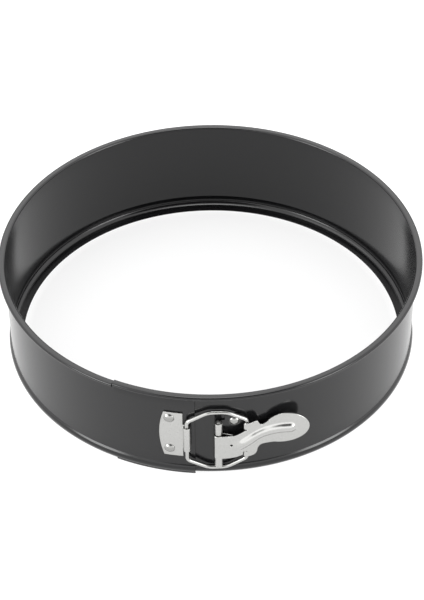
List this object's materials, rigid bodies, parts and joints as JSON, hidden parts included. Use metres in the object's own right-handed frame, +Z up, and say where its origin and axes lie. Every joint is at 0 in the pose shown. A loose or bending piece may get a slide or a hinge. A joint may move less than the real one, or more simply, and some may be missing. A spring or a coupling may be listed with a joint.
{
  "type": "springform pan ring",
  "caption": "Springform cake ring: lapped coated-steel band with rolled rim and base groove, closed by a riveted toggle latch with a hinged lever and a bent wire loop.",
  "frame": {"origin": "on the axis of the ring at the level of its foot", "axes": "+Z up along the ring's axis, -Y through the front of the closed ring where the latch is, +X towards the lever's thumb plate"},
  "size_m": [0.2712, 0.2722, 0.067],
  "materials": {
    "coating": "dark grey semi-gloss non-stick coating on sheet steel",
    "plate_zinc": "satin zinc-plated sheet steel",
    "rivet_zinc": "bright zinc-plated steel",
    "bright_wire": "bright drawn steel wire",
    "lever_zinc": "satin zinc-plated pressed steel"
  },
  "bodies": {
    "ring": {"band": "coating", "lever_plate": "plate_zinc", "lever_plate_upper_rivet": "rivet_zinc", "lever_plate_lower_rivet": "rivet_zinc", "hinge_pin": "rivet_zinc"},
    "free_end": {"wire_plate": "plate_zinc", "wire_plate_upper_rivet": "rivet_zinc", "wire_plate_lower_rivet": "rivet_zinc"},
    "wire": {"latch_wire": "bright_wire"},
    "lever": {"lever": "lever_zinc"}
  },
  "joints": [
    {"name": "lever_swing", "type": "hinge", "parent": "ring", "child": "lever", "pos_m": [0.0036, -0.1335, 0.02545], "axis": [0, 0, -1], "range_deg": [0, 150]},
    {"name": "band_spread", "type": "hinge", "parent": "ring", "child": "free_end", "pos_m": [0, 0.13025, 0.0335], "axis": [0, 0, -1], "range_deg": [0, 3], "deforming": ["band"]},
    {"name": "wire_swing", "type": "hinge", "parent": "free_end", "child": "wire", "pos_m": [-0.01534, -0.13332, 0.0318], "axis": [0, 0, -1], "range_deg": [0, 30]}
  ],
  "couplings": [
    {"joint": "band_spread", "follows": "lever_swing", "ratio": 0.02},
    {"joint": "wire_swing", "follows": "lever_swing", "ratio": 0.2}
  ]
}
